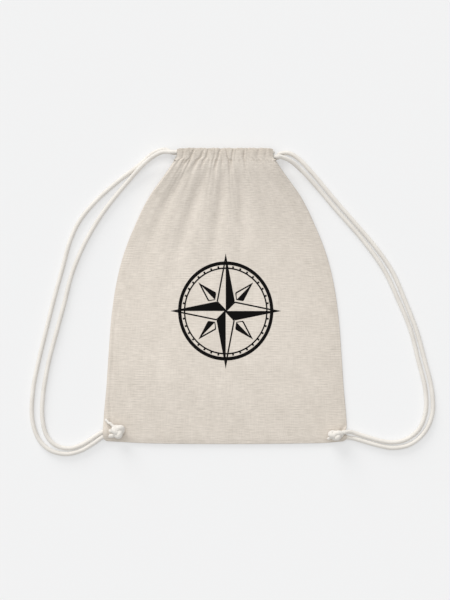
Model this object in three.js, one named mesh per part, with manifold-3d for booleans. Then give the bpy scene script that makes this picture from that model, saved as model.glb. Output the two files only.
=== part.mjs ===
// Drawstring backpack of natural cotton, empty and laid flat on its back, in millimetres.
// +X runs across the bag, +Y to its gathered mouth and +Z up from the floor through its front.
// Two cloth panels meet along the sides and the bottom. Each ends in a casing at the mouth,
// and two cords run through both casings and back to a knot at their own lower corner.
import * as THREE from 'three';
import { mergeVertices } from 'three/addons/utils/BufferGeometryUtils.js';
import Module from 'manifold-3d';

const wasm = await Module();
wasm.setup();

// Driving dimensions
const BAG_WIDTH = 380;
const BAG_HEIGHT = 456;
const MOUTH_WIDTH = 148;
const CLOTH = 1.3;
const EDGE_HEIGHT = 4.6;
const BODY_LOFT = 9.5;
const CORNER_RADIUS = 9;
const SHOULDER = 5;
const MOUTH_GAP = 6;
const FOLD_DEPTH = 3.2;
const GATHERS = 12;
const FRONT_GATHER = 3.2;
const BACK_GATHER = 1.5;
const MOUTH_GATHER = 1.2;
const RUFFLE = 0.9;
const CORD = 7;
const CORD_CLEARANCE = 0.4;
const EYELET_CLEARANCE = 0.5;
const PIECE_GAP = 0.3;
const KNOT_HEIGHT = 13;
const TAIL_SHARE = 0.75;

// Heights along the bag, from the casing's ruffled edge down to the stitch line under it
const bottomY = -BAG_HEIGHT / 2;
const casingTopY = BAG_HEIGHT / 2 - RUFFLE;
const upperLaneY = casingTopY - CLOTH - CORD_CLEARANCE - CORD / 2;
const lowerLaneY = upperLaneY - CORD - CORD_CLEARANCE;
const stitchY = lowerLaneY - CORD / 2 - CORD_CLEARANCE - CLOTH;
const panelTopY = stitchY - PIECE_GAP;
const bodyHeight = panelTopY - bottomY;

// Levels through the mouth, from the floor up through both casings
const laneHalf = CORD / 2 + CORD_CLEARANCE;
const backLaneZ = BACK_GATHER + CLOTH + laneHalf;
const mouthFloorZ = backLaneZ + laneHalf + CLOTH;
const mouthRoofZ = mouthFloorZ + MOUTH_GATHER + MOUTH_GAP;
const frontLaneZ = mouthRoofZ + MOUTH_GATHER + CLOTH + laneHalf;
const mouthRimZ = (frontLaneZ + CLOTH) / 2;

const halfBottom = BAG_WIDTH / 2;
const halfMouth = MOUTH_WIDTH / 2;
const halfTop = halfMouth + SHOULDER;
const flatRimZ = EDGE_HEIGHT / 2;
const insideCordZ = CLOTH + laneHalf;

// Cross-sections of the body from the bottom edge up to the stitch line.
// up is a share of the body's height, and taper runs from 0 at the bottom's half width to 1 at
// the mouth's. puff is a share of the body's loft, and mouth and rim are shares of the way that
// the front and the side edges rise to the front casing. gather is a share of the gathers' depth.
const SECTIONS = [
  { up: 0.000, taper: 0.000, puff: 0.00, mouth: 0.00, rim: 0.00, gather: 0.00 },
  { up: 0.037, taper: 0.004, puff: 0.10, mouth: 0.00, rim: 0.00, gather: 0.00 },
  { up: 0.100, taper: 0.018, puff: 0.32, mouth: 0.00, rim: 0.00, gather: 0.00 },
  { up: 0.190, taper: 0.050, puff: 0.62, mouth: 0.00, rim: 0.00, gather: 0.00 },
  { up: 0.315, taper: 0.083, puff: 0.90, mouth: 0.00, rim: 0.00, gather: 0.00 },
  { up: 0.453, taper: 0.126, puff: 1.00, mouth: 0.00, rim: 0.00, gather: 0.00 },
  { up: 0.544, taper: 0.176, puff: 0.98, mouth: 0.02, rim: 0.00, gather: 0.00 },
  { up: 0.624, taper: 0.243, puff: 0.92, mouth: 0.07, rim: 0.02, gather: 0.00 },
  { up: 0.704, taper: 0.342, puff: 0.80, mouth: 0.16, rim: 0.06, gather: 0.00 },
  { up: 0.773, taper: 0.455, puff: 0.64, mouth: 0.28, rim: 0.14, gather: 0.04 },
  { up: 0.837, taper: 0.572, puff: 0.46, mouth: 0.43, rim: 0.28, gather: 0.10 },
  { up: 0.887, taper: 0.685, puff: 0.30, mouth: 0.58, rim: 0.44, gather: 0.20 },
  { up: 0.928, taper: 0.802, puff: 0.17, mouth: 0.73, rim: 0.62, gather: 0.36 },
  { up: 0.960, taper: 0.893, puff: 0.08, mouth: 0.86, rim: 0.79, gather: 0.58 },
  { up: 1.000, taper: 1.000, puff: 0.00, mouth: 1.00, rim: 1.00, gather: 1.00 },
];

// Columns to each gather: the front and the casings show their ruffles, the back lies flat
const FRONT_COLUMNS = 3;
const CASING_COLUMNS = 3;
const BACK_COLUMNS = 1;

// Rows of the rounded bottom corners, as shares of the corner's radius above the bottom edge
const CORNER_ROWS = [0, 0.09, 0.28, 0.6, 1];

// Columns beside each side edge, as shares of the way from the edge to the casing's end
const EDGE_COLUMNS = [0, 0.07, 0.36];

// Long soft folds that fan out from the casing over the front, one row for each fold.
// at and width are shares of the half width, and reach is a share of the body's height.
const FRONT_FOLDS = [
  { at: -0.76, width: 0.080, depth: 0.80, reach: 0.34 },
  { at: -0.45, width: 0.075, depth: 1.00, reach: 0.36 },
  { at: -0.16, width: 0.065, depth: 0.75, reach: 0.30 },
  { at: 0.10, width: 0.055, depth: 0.80, reach: 0.22 },
  { at: 0.38, width: 0.050, depth: 0.70, reach: 0.14 },
  { at: 0.60, width: 0.065, depth: 0.60, reach: 0.26 },
  { at: 0.84, width: 0.055, depth: 0.45, reach: 0.16 },
];

// Swellings where the cords go in between the panels at the lower corners.
// x and y are offsets from the corner inward, and wide and tall are the swelling's half sizes.
const CORD_SWELLINGS = [
  { side: -1, x: 3, y: 14, wide: 13, tall: 13 },
  { side: 1, x: 4, y: 8, wide: 12, tall: 8 },
];

// Dent in the right edge where a strand crosses over it
const EDGE_DENT = { side: 1, y: 16, depth: 4, tall: 4.5 };

// Power of the curve that the front's section follows from its middle to its side edges
const CROWN_POWER = 2.4;

// The gathers' crests and creases, as shares of the gathers' depth. They drift off an even
// spacing by a share of one gather.
const GATHER_DRIFT = { most: 0.35, turn: 1.9 };
const CREST = { mean: 0.8, swing: 0.2, turn: 1.3 };
const CREASE = { mean: 0.12, swing: 0.12, turn: 1 };

// A casing's section. chamfer is a share of the room for a cord, foot and rim are shares of
// their walls, and level is the share of a ruffle that lies below the casing's edge.
const CASING = { chamfer: 0.58, foot: 0.6, rim: 0.7, level: 0.4 };

// Where the casing's walls end, as shares of the way in that the cords' turn takes up
const WALL_ENDS = { outer: 0, top: 0.3, bend: 0.7, mouth: 1 };

// Sides of the round pieces, and the steps along a cord in cord diameters
const CORD_SIDES = 8;
const CORD_STEP = 3.6;
const KNOT_SIDES = 7;
const TAIL_SIDES = 6;

// A trefoil's half sizes before it is scaled to a knot, and how far its three arcs overlap
const TREFOIL = { wide: 2.6, tall: 2.75, overlap: 1.08, steps: 5 };
const KNOT_CORE = { wide: 0.3, tall: 0.3, deep: 0.36 };

// The knots lie on the front at the lower corners. Each has a short cut tail.
const LEFT_KNOT = { centre: [-165.6, -209.5, 13.6], wide: 21, tall: 23 };
const RIGHT_KNOT = { centre: [171.5, -215.6, 15.6], wide: 24, tall: 17 };
const LEFT_TAIL = [
  [-168.0, -205.0, 15.0],
  [-174.0, -200.5, 13.5],
  [-180.5, -197.0, 10.8],
  [-185.0, -192.5, 8.8],
];
const RIGHT_TAIL = [
  [170.0, -218.0, 16.0],
  [163.0, -220.0, 14.5],
  [158.5, -222.0, 11.5],
];

// Each cord's route, a list of points chosen by hand. The middle stretches lie on the floor.
const FLOOR_Z = CORD / 2 + 0.1;
const LEFT_FRONT_STRAND = [
  [-171.2, -209.6, 11.0],
  [-175.2, -209.8, 7.6],
  [-181.0, -210.0, 5.3],
  [-188.5, -210.8, 5.0],
  [-200.0, -217.4, 4.0],
  [-221.0, -230.5, FLOOR_Z],
  [-241.0, -236.8, FLOOR_Z],
  [-262.0, -232.5, FLOOR_Z],
  [-276.5, -217.5, FLOOR_Z],
  [-283.5, -190.0, FLOOR_Z],
  [-282.5, -155.0, FLOOR_Z],
  [-274.0, -104.0, FLOOR_Z],
  [-262.0, -58.0, FLOOR_Z],
  [-249.5, -12.0, FLOOR_Z],
  [-238.0, 33.0, FLOOR_Z],
  [-217.5, 82.0, FLOOR_Z],
  [-188.0, 131.0, FLOOR_Z],
  [-150.0, 178.0, 5.5],
  [-121.0, 208.5, 12.5],
  [-98.0, 222.0, 20.0],
];
const LEFT_BACK_STRAND = [
  [-93.0, 226.8, 4.8],
  [-110.0, 222.0, FLOOR_Z],
  [-137.0, 199.5, FLOOR_Z],
  [-165.0, 178.5, FLOOR_Z],
  [-199.0, 148.4, FLOOR_Z],
  [-225.0, 117.4, FLOOR_Z],
  [-240.0, 86.4, FLOOR_Z],
  [-253.0, 40.0, FLOOR_Z],
  [-266.0, -7.0, FLOOR_Z],
  [-277.5, -53.0, FLOOR_Z],
  [-289.0, -100.0, FLOOR_Z],
  [-298.0, -146.0, FLOOR_Z],
  [-299.2, -192.6, FLOOR_Z],
  [-288.5, -223.6, FLOOR_Z],
  [-271.0, -240.0, FLOOR_Z],
  [-247.0, -245.6, FLOOR_Z],
  [-225.0, -240.8, FLOOR_Z],
  [-205.0, -229.6, 4.0],
  [-189.0, -218.8, 5.0],
  [-181.0, -217.6, 5.3],
  [-175.2, -216.9, 7.6],
  [-171.2, -216.3, 11.0],
];
const RIGHT_FRONT_STRAND = [
  [180.0, -212.4, 13.4],
  [185.0, -211.7, 12.0],
  [191.0, -211.2, 8.9],
  [198.5, -212.2, 5.2],
  [209.5, -215.8, FLOOR_Z],
  [225.0, -220.5, FLOOR_Z],
  [242.0, -225.3, FLOOR_Z],
  [260.5, -227.5, FLOOR_Z],
  [280.0, -223.6, FLOOR_Z],
  [300.5, -208.0, FLOOR_Z],
  [311.5, -180.0, FLOOR_Z],
  [311.0, -146.0, FLOOR_Z],
  [300.0, -100.0, FLOOR_Z],
  [288.0, -53.0, FLOOR_Z],
  [269.0, -6.5, FLOOR_Z],
  [247.0, 40.0, FLOOR_Z],
  [214.0, 86.4, FLOOR_Z],
  [173.5, 132.5, FLOOR_Z],
  [139.0, 173.0, 4.8],
  [119.5, 193.5, 9.5],
  [101.0, 208.8, 16.5],
  [87.0, 214.4, 22.0],
];
const RIGHT_BACK_STRAND = [
  [84.5, 219.4, 5.2],
  [98.0, 221.6, 3.8],
  [114.0, 213.0, FLOOR_Z],
  [137.0, 189.0, FLOOR_Z],
  [170.8, 148.4, FLOOR_Z],
  [204.0, 110.5, FLOOR_Z],
  [235.0, 74.0, FLOOR_Z],
  [260.0, 37.0, FLOOR_Z],
  [279.0, -6.5, FLOOR_Z],
  [297.0, -53.0, FLOOR_Z],
  [310.0, -100.0, FLOOR_Z],
  [321.0, -146.0, FLOOR_Z],
  [322.0, -183.0, FLOOR_Z],
  [310.5, -211.0, FLOOR_Z],
  [288.0, -230.5, FLOOR_Z],
  [261.0, -236.2, FLOOR_Z],
  [244.0, -233.8, FLOOR_Z],
  [227.0, -229.4, FLOOR_Z],
  [211.0, -224.6, FLOOR_Z],
  [198.5, -221.2, 4.0],
  [188.5, -219.8, 5.0],
  [182.0, -219.2, 5.4],
  [176.6, -218.8, 8.0],
  [173.4, -218.6, 11.6],
];

function smoothStep(value) {
  const share = Math.min(1, Math.max(0, value));
  return share * share * (3 - 2 * share);
}

// Values of the section table at any height, read between its rows
function sectionAt(y) {
  const up = Math.min(1, Math.max(0, (y - bottomY) / bodyHeight));
  let index = 1;
  while (index < SECTIONS.length - 1 && SECTIONS[index].up < up) {
    index += 1;
  }
  const low = SECTIONS[index - 1];
  const high = SECTIONS[index];
  const share = (up - low.up) / (high.up - low.up);
  const mixed = {};
  for (const key of Object.keys(low)) {
    mixed[key] = low[key] + (high[key] - low[key]) * share;
  }
  return mixed;
}

function bell(distance, half) {
  return Math.exp(-((distance / half) ** 2));
}

function halfWidthAt(y, side, inset) {
  const section = sectionAt(y);
  const straight = halfBottom + (halfTop - halfBottom) * section.taper;
  const above = Math.max(0, CORNER_RADIUS - (y - bottomY));
  const rounding = CORNER_RADIUS - Math.sqrt(Math.max(0, CORNER_RADIUS ** 2 - above ** 2));
  const dented = side === EDGE_DENT.side ? EDGE_DENT.depth : 0;
  return straight - rounding - inset - dented * bell(y - bottomY - EDGE_DENT.y, EDGE_DENT.tall);
}

function swellingAt(x, y) {
  let swelling = 0;
  for (const place of CORD_SWELLINGS) {
    const across = place.side * halfBottom - place.side * place.x - x;
    const along = bottomY + place.y - y;
    swelling = Math.max(swelling, bell(across, place.wide) * bell(along, place.tall));
  }
  return swelling;
}

function foldsAt(share, y) {
  const down = (panelTopY - y) / bodyHeight;
  let depth = 0;
  for (const fold of FRONT_FOLDS) {
    depth += fold.depth * bell(share - fold.at, fold.width) * smoothStep(1 - down / fold.reach);
  }
  return depth * FOLD_DEPTH;
}

// Columns across the gathered mouth, with the crest first in each gather
function gatherColumns(perGather) {
  const columns = [];
  const steps = GATHERS * perGather;
  for (let step = 0; step <= steps; step += 1) {
    const share = (2 * step) / steps - 1;
    const sway = Math.sin(step * GATHER_DRIFT.turn) * (1 - share * share);
    const drift = (GATHER_DRIFT.most * sway) / GATHERS;
    const onCrest = step % perGather === 0;
    const crest = onCrest
      ? CREST.mean + CREST.swing * Math.cos(step * CREST.turn)
      : CREASE.mean + CREASE.swing * Math.sin(step * CREASE.turn);
    columns.push({ across: share + drift, crest });
  }
  return columns;
}

// Columns across a panel: the mouth's own carried down the cloth, and more beside each edge
function panelColumns(perGather) {
  const inner = gatherColumns(perGather);
  const edgeShare = halfMouth / halfTop;
  const columns = [];
  for (const near of EDGE_COLUMNS) {
    columns.push({ across: -1 + near * (1 - edgeShare), crest: 0 });
  }
  for (const column of inner) {
    columns.push({ across: column.across * edgeShare, crest: column.crest });
  }
  for (const near of [...EDGE_COLUMNS].reverse()) {
    columns.push({ across: 1 - near * (1 - edgeShare), crest: 0 });
  }
  return columns;
}

function bodyRows() {
  const rows = CORNER_ROWS.map((share) => bottomY + share * CORNER_RADIUS);
  for (const section of SECTIONS) {
    const y = bottomY + section.up * bodyHeight;
    if (y > bottomY + CORNER_RADIUS) {
      rows.push(y);
    }
  }
  return rows;
}

// How far a surface has rounded over from the edge: 0 on the edge itself, 1 a radius inside it
function roundedOver(distance, radius) {
  const share = Math.min(1, Math.max(0, distance / radius));
  return Math.sqrt(1 - (1 - share) ** 2);
}

// One skin of a panel as rows of points. face is 1 for the front and -1 for the back, and inset
// is 0 for the outer skin or the cloth's thickness for the inner one.
function panelSkin(face, inset, columns) {
  const skin = [];
  for (const row of bodyRows()) {
    const above = row - bottomY;
    const y = row + inset * Math.max(0, 1 - above / CORNER_RADIUS);
    const section = sectionAt(row);
    const points = [];
    for (const column of columns) {
      const half = halfWidthAt(row, Math.sign(column.across), inset);
      const x = column.across * half;
      const swelling = swellingAt(x, row);
      const flatRim = flatRimZ + (insideCordZ - flatRimZ) * swelling;
      const seam = flatRim + (mouthRimZ - flatRim) * section.rim;
      const rim = seam + (face * PIECE_GAP) / 2;
      const overSide = roundedOver(half - Math.abs(x), seam - inset);
      const overBottom = roundedOver(y - bottomY - inset, seam - inset);
      const crown = 1 - (1 - section.mouth) * Math.abs(column.across) ** CROWN_POWER;
      const gather = section.gather * column.crest;
      let level;
      if (face > 0) {
        const swollen = (2 * insideCordZ - EDGE_HEIGHT) * swelling;
        const body = EDGE_HEIGHT + BODY_LOFT * section.puff * crown + swollen;
        const mouthRise = (frontLaneZ + CLOTH / 2 - EDGE_HEIGHT) * section.mouth;
        const folded = foldsAt(column.across, row) * crown * (1 - section.gather);
        level = body + mouthRise * crown + gather * MOUTH_GATHER - folded - inset;
      } else {
        level = BACK_GATHER * (section.gather - gather) + inset;
      }
      const z = rim + (level - rim) * overSide * overBottom;
      points.push(new THREE.Vector3(x, y, z));
    }
    skin.push(points);
  }
  return skin;
}

// A closed wall between an outer and an inner grid of points. With looped set, each row closes
// on itself, as a tunnel's section does, and only the two end rows get a rim.
function wallGeometry(outer, inner, looped) {
  const rows = outer.length;
  const columns = outer[0].length;
  const points = [...outer.flat(), ...inner.flat()];
  const innerStart = rows * columns;
  const triangles = [];
  const quad = (a, b, c, d) => triangles.push(a, b, c, a, c, d);
  const steps = looped ? columns : columns - 1;
  for (let row = 0; row < rows - 1; row += 1) {
    for (let column = 0; column < steps; column += 1) {
      const next = (column + 1) % columns;
      const a = row * columns + column;
      const b = row * columns + next;
      const c = (row + 1) * columns + next;
      const d = (row + 1) * columns + column;
      quad(a, b, c, d);
      quad(innerStart + d, innerStart + c, innerStart + b, innerStart + a);
    }
  }
  for (let column = 0; column < steps; column += 1) {
    const next = (column + 1) % columns;
    const last = (rows - 1) * columns;
    quad(column, innerStart + column, innerStart + next, next);
    quad(last + next, innerStart + last + next, innerStart + last + column, last + column);
  }
  if (!looped) {
    for (let row = 0; row < rows - 1; row += 1) {
      const left = row * columns;
      const right = left + columns - 1;
      quad(left + columns, innerStart + left + columns, innerStart + left, left);
      quad(right, innerStart + right, innerStart + right + columns, right + columns);
    }
  }
  const geometry = new THREE.BufferGeometry();
  geometry.setFromPoints(points);
  geometry.setIndex(triangles);
  return outwardGeometry(geometry);
}

// Turns every triangle over where the closed mesh would otherwise be inside out
function outwardGeometry(geometry) {
  const place = geometry.getAttribute('position');
  const index = geometry.getIndex();
  const corner = [0, 1, 2].map(() => new THREE.Vector3());
  let volume = 0;
  for (let first = 0; first < index.count; first += 3) {
    corner.forEach((point, offset) => point.fromBufferAttribute(place, index.getX(first + offset)));
    volume += corner[0].dot(corner[1].clone().cross(corner[2]));
  }
  if (volume < 0) {
    for (let first = 0; first < index.count; first += 3) {
      const kept = index.getX(first + 1);
      index.setX(first + 1, index.getX(first + 2));
      index.setX(first + 2, kept);
    }
  }
  return geometry;
}

function toSolid(geometry) {
  const bare = geometry.clone();
  bare.deleteAttribute('normal');
  bare.deleteAttribute('uv');
  const merged = mergeVertices(bare, 1e-4);
  return new wasm.Manifold(new wasm.Mesh({
    numProp: 3,
    vertProperties: new Float32Array(merged.getAttribute('position').array),
    triVerts: new Uint32Array(merged.getIndex().array),
  }));
}

function toGeometry(solid) {
  const mesh = solid.getMesh();
  const geometry = new THREE.BufferGeometry();
  geometry.setAttribute('position', new THREE.BufferAttribute(mesh.vertProperties, 3));
  geometry.setIndex(new THREE.BufferAttribute(mesh.triVerts, 1));
  return geometry;
}

// A smooth route whose steps are about as long as named, and shorter between close points, as
// in a tight bend
class Route extends THREE.CatmullRomCurve3 {
  constructor(points, stepLength) {
    super(points);
    this.ends = [0];
    for (let index = 1; index < points.length; index += 1) {
      const length = points[index].distanceTo(points[index - 1]);
      const steps = Math.max(1, Math.round(length / stepLength));
      this.ends.push(this.ends[index - 1] + steps);
    }
    this.steps = this.ends[this.ends.length - 1];
  }

  getUtoTmapping(share) {
    const step = share * this.steps;
    let index = 1;
    while (index < this.ends.length - 1 && this.ends[index] < step) {
      index += 1;
    }
    const start = this.ends[index - 1];
    const within = (step - start) / (this.ends[index] - start);
    return (index - 1 + within) / (this.ends.length - 1);
  }
}

function tubeGeometry(points, radius, sides, stepLength) {
  const section = new THREE.Shape();
  for (let side = 0; side < sides; side += 1) {
    const angle = (2 * Math.PI * (side + 0.5)) / sides;
    const x = radius * Math.cos(angle);
    const y = radius * Math.sin(angle);
    if (side === 0) {
      section.moveTo(x, y);
    } else {
      section.lineTo(x, y);
    }
  }
  section.closePath();
  const extrudePath = new Route(points, stepLength);
  const steps = extrudePath.steps;
  return new THREE.ExtrudeGeometry(section, { steps, extrudePath, bevelEnabled: false });
}

// A whole cord from its knot up one strand, through the front casing, round the far side seam,
// back through the back casing and down its other strand. side is -1 for the left cord.
function cordPoints(side, laneY, frontStrand, backStrand) {
  const turnZ = (frontLaneZ + backLaneZ) / 2;
  const turn = (frontLaneZ - backLaneZ) / 2;
  const turnX = -side * (halfMouth - turn);
  const points = frontStrand.map((point) => new THREE.Vector3(...point));
  const straightShares = [1.1, 1, 0.86, -0.4, -0.78];
  for (const share of straightShares) {
    points.push(new THREE.Vector3(side * halfMouth * share, laneY, frontLaneZ));
  }
  for (const angle of [90, 45, 0, -45, -90]) {
    const radians = THREE.MathUtils.degToRad(angle);
    const x = turnX - side * turn * Math.cos(radians);
    points.push(new THREE.Vector3(x, laneY, turnZ + turn * Math.sin(radians)));
  }
  for (const share of straightShares.reverse()) {
    points.push(new THREE.Vector3(side * halfMouth * share, laneY, backLaneZ));
  }
  return points.concat(backStrand.map((point) => new THREE.Vector3(...point)));
}

const leftRoute = cordPoints(-1, upperLaneY, LEFT_FRONT_STRAND, LEFT_BACK_STRAND);
const rightRoute = cordPoints(1, lowerLaneY, RIGHT_FRONT_STRAND, RIGHT_BACK_STRAND);

function cordGeometry(route, clearance) {
  return tubeGeometry(route, CORD / 2 + clearance, CORD_SIDES, CORD_STEP * CORD);
}

// The room that a cord needs where it goes through cloth or into its knot, with round ends
function cordRoom(route, clearance) {
  let room = toSolid(cordGeometry(route, clearance));
  for (const end of [route[0], route[route.length - 1]]) {
    const ball = new THREE.SphereGeometry(CORD / 2 + clearance, CORD_SIDES, CORD_SIDES - 2);
    ball.translate(end.x, end.y, end.z);
    room = room.add(toSolid(ball));
  }
  return room;
}

// A casing is a flattened tunnel along the mouth, gathered into ruffles. Its section is a loop
// round the two cords, and the wall on the mouth's side stops short at the ends, where the
// cords turn from one casing into the other. The front casing's foot is at its middle, and the
// back one's lies on the floor, in line with its panel. face is 1 for the front, -1 for the back.
function casingSkin(face, inset) {
  const laneZ = face > 0 ? frontLaneZ : backLaneZ;
  const outerDepth = face > 0 ? FRONT_GATHER : BACK_GATHER;
  const turn = (frontLaneZ - backLaneZ) / 2;
  const wall = laneHalf + CLOTH - inset;
  const chamfer = laneHalf * CASING.chamfer;
  const top = casingTopY - inset;
  const bottom = stitchY + inset;
  const foot = chamfer * CASING.foot + (CLOTH - inset) * CASING.foot;
  const rim = chamfer * CASING.rim;
  const { outer, top: topEnd, bend, mouth } = WALL_ENDS;
  const loops = [];
  for (const column of gatherColumns(CASING_COLUMNS)) {
    const crest = column.crest;
    const outwards = face * (wall + outerDepth * crest);
    const inwards = -face * (wall + MOUTH_GATHER * (1 - crest));
    const ruffle = RUFFLE * (crest - CASING.level);
    const loop = [
      { y: bottom, z: face > 0 ? foot : outwards, end: face > 0 ? topEnd : outer },
      { y: bottom + chamfer, z: outwards, end: outer },
      { y: top - chamfer + ruffle, z: outwards, end: outer },
      { y: top + ruffle, z: face * rim, end: topEnd },
      { y: top + ruffle, z: -face * rim, end: bend },
      { y: top - chamfer + ruffle, z: inwards, end: mouth },
      { y: bottom + chamfer, z: inwards, end: mouth },
      { y: bottom, z: -face * foot, end: bend },
    ];
    loops.push(loop.map((point) => {
      const reach = halfMouth - turn * point.end;
      return new THREE.Vector3(column.across * reach, point.y, laneZ + point.z);
    }));
  }
  return loops;
}

// An overhand knot: a trefoil of the cord drawn tight, in three arcs that run over and under
// each other, with the core that they close round
function knotSolid(knot, tail) {
  const arcs = 3;
  const [x, y, z] = knot.centre;
  const halfWide = (knot.wide - CORD) / 2 / TREFOIL.wide;
  const halfTall = (knot.tall - CORD) / 2 / TREFOIL.tall;
  const sag = (KNOT_HEIGHT - CORD) / 2;
  const core = new THREE.SphereGeometry(1, CORD_SIDES, 5);
  core.scale(knot.wide * KNOT_CORE.wide, knot.tall * KNOT_CORE.tall, KNOT_HEIGHT * KNOT_CORE.deep);
  core.translate(x, y, z);
  let solid = toSolid(core);
  const trefoil = (angle) => new THREE.Vector3(
    x + halfWide * (Math.sin(angle) + 2 * Math.sin(2 * angle)),
    y + halfTall * (Math.cos(angle) - 2 * Math.cos(2 * angle)),
    z - sag * Math.sin(3 * angle),
  );
  for (let arc = 0; arc < arcs; arc += 1) {
    const points = [];
    for (let step = 0; step <= TREFOIL.steps; step += 1) {
      const turn = arc + (TREFOIL.overlap * step) / TREFOIL.steps;
      points.push(trefoil((2 * Math.PI * turn) / arcs));
    }
    solid = solid.add(toSolid(tubeGeometry(points, CORD / 2, KNOT_SIDES, CORD)));
  }
  const tailPoints = tail.map((point) => new THREE.Vector3(...point));
  return solid.add(toSolid(tubeGeometry(tailPoints, (CORD * TAIL_SHARE) / 2, TAIL_SIDES, CORD)));
}

// Rooms for the cords are cut from the panels and the knots
const leftEyelet = cordRoom(leftRoute, EYELET_CLEARANCE);
const rightEyelet = cordRoom(rightRoute, EYELET_CLEARANCE);

function panelGeometry(face) {
  const columns = panelColumns(face > 0 ? FRONT_COLUMNS : BACK_COLUMNS);
  const wall = wallGeometry(panelSkin(face, 0, columns), panelSkin(face, CLOTH, columns), false);
  return toGeometry(toSolid(wall).subtract(leftEyelet).subtract(rightEyelet));
}

function knotGeometry(knot, tail, eyelet) {
  return toGeometry(knotSolid(knot, tail).subtract(eyelet));
}

const cloth = { color: 0xdad0c4, roughness: 0.95, metalness: 0 };
const cotton = { color: 0xeae5da, roughness: 0.9, metalness: 0 };

const bag = new THREE.Group();

function addPiece(name, geometry, finish) {
  const piece = new THREE.Mesh(geometry, new THREE.MeshStandardMaterial(finish));
  piece.name = name;
  bag.add(piece);
}

addPiece('front_panel', panelGeometry(1), cloth);
addPiece('back_panel', panelGeometry(-1), cloth);
addPiece('front_casing', wallGeometry(casingSkin(1, 0), casingSkin(1, CLOTH), true), cloth);
addPiece('back_casing', wallGeometry(casingSkin(-1, 0), casingSkin(-1, CLOTH), true), cloth);
addPiece('left_cord', cordGeometry(leftRoute, 0), cotton);
addPiece('right_cord', cordGeometry(rightRoute, 0), cotton);
addPiece('left_knot', knotGeometry(LEFT_KNOT, LEFT_TAIL, leftEyelet), cotton);
addPiece('right_knot', knotGeometry(RIGHT_KNOT, RIGHT_TAIL, rightEyelet), cotton);

export default bag;
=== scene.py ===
import math

import bpy
import numpy as np
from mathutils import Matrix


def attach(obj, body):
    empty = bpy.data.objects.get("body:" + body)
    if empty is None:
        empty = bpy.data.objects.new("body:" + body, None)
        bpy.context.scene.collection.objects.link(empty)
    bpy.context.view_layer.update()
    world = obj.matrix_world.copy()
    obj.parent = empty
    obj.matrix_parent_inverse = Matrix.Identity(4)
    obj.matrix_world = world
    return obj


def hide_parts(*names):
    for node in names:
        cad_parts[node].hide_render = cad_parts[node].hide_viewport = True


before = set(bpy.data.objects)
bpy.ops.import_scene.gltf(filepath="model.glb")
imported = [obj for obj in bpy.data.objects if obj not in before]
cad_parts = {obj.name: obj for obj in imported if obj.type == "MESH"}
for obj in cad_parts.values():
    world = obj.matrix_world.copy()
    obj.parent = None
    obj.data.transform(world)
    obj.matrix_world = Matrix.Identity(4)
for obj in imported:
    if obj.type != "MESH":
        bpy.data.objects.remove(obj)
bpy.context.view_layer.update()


# Camera, floor and light. The bag lies on a pale light table and is seen from straight above.
# The picture is 600 pixels high, and each of them covers 1.55 mm at the bag's front.
MM = 0.001
PIXEL = 1.55 * MM
PICTURE_TALL = 600
FILM = 36
CAMERA_ABOVE = 4.0
BAG_FRONT_Z = 10 * MM
PICTURE_CENTRE_Y = -6.6 * MM
FLOOR_REACH = 6.0
FLOOR_GAP = 0.2 * MM

camera_data = bpy.data.cameras.new("camera")
camera_data.sensor_width = FILM
camera_data.lens = FILM * CAMERA_ABOVE / (PICTURE_TALL * PIXEL)
camera = bpy.data.objects.new("camera", camera_data)
camera.location = (0, PICTURE_CENTRE_Y, CAMERA_ABOVE + BAG_FRONT_Z)
bpy.context.collection.objects.link(camera)
bpy.context.scene.camera = camera
bpy.context.scene.view_settings.view_transform = "Standard"


def new_material(name, roughness, sheen=0.0):
    """A material with its own shader, and the shader's node."""
    material = bpy.data.materials.new(name)
    material.use_nodes = True
    shader = material.node_tree.nodes["Principled BSDF"]
    shader.inputs["Roughness"].default_value = roughness
    shader.inputs["Specular IOR Level"].default_value = 0.1
    shader.inputs["Sheen Weight"].default_value = sheen
    shader.inputs["Sheen Roughness"].default_value = 0.5
    return material, shader


def linear(red, green, blue):
    """A colour as it shows on a screen, from 0 to 255, as the shader takes it."""
    shares = [value / 255 for value in (red, green, blue)]
    return [((share + 0.055) / 1.055) ** 2.4 for share in shares] + [1.0]


def add_mesh(name, points, faces, material, thread=None):
    """A smooth mesh. thread gives each point's place on the cloth or along the yarn."""
    mesh = bpy.data.meshes.new(name)
    mesh.from_pydata(points.tolist(), [], faces)
    mesh.polygons.foreach_set("use_smooth", [True] * len(mesh.polygons))
    if thread is not None:
        layer = mesh.attributes.new("thread", "FLOAT_VECTOR", "POINT")
        layer.data.foreach_set("vector", thread.astype(np.float32).ravel())
    mesh.materials.append(material)
    mesh.update()
    piece = bpy.data.objects.new(name, mesh)
    bpy.context.collection.objects.link(piece)
    return piece


def add_sun(name, energy, spread, turn):
    """A far light. spread and turn are in degrees, and turn is about X, Y and Z."""
    data = bpy.data.lights.new(name, "SUN")
    data.energy = energy
    data.angle = math.radians(spread)
    sun = bpy.data.objects.new(name, data)
    sun.rotation_euler = [math.radians(angle) for angle in turn]
    bpy.context.collection.objects.link(sun)


floor_material, floor_shader = new_material("light_table", 0.95)
floor_shader.inputs["Base Color"].default_value = linear(187, 187, 187)
floor_shader.inputs["Emission Color"].default_value = linear(255, 255, 255)
floor_shader.inputs["Emission Strength"].default_value = 0.36
floor_corners = FLOOR_REACH * np.array([[-1, -1, 0], [1, -1, 0], [1, 1, 0], [-1, 1, 0]])
floor = add_mesh("floor", floor_corners, [[0, 1, 2, 3]], floor_material)
floor.location.z = -FLOOR_GAP

add_sun("window_light", 1.31, 64, (-8, -6, 0))
add_sun("low_light", 1.85, 32, (-68, 0, 26))

world = bpy.data.worlds.new("studio")
world.use_nodes = True
bpy.context.scene.world = world
room = world.node_tree.nodes["Background"]
room.inputs["Color"].default_value = linear(253, 254, 255)
room.inputs["Strength"].default_value = 0.438


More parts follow.
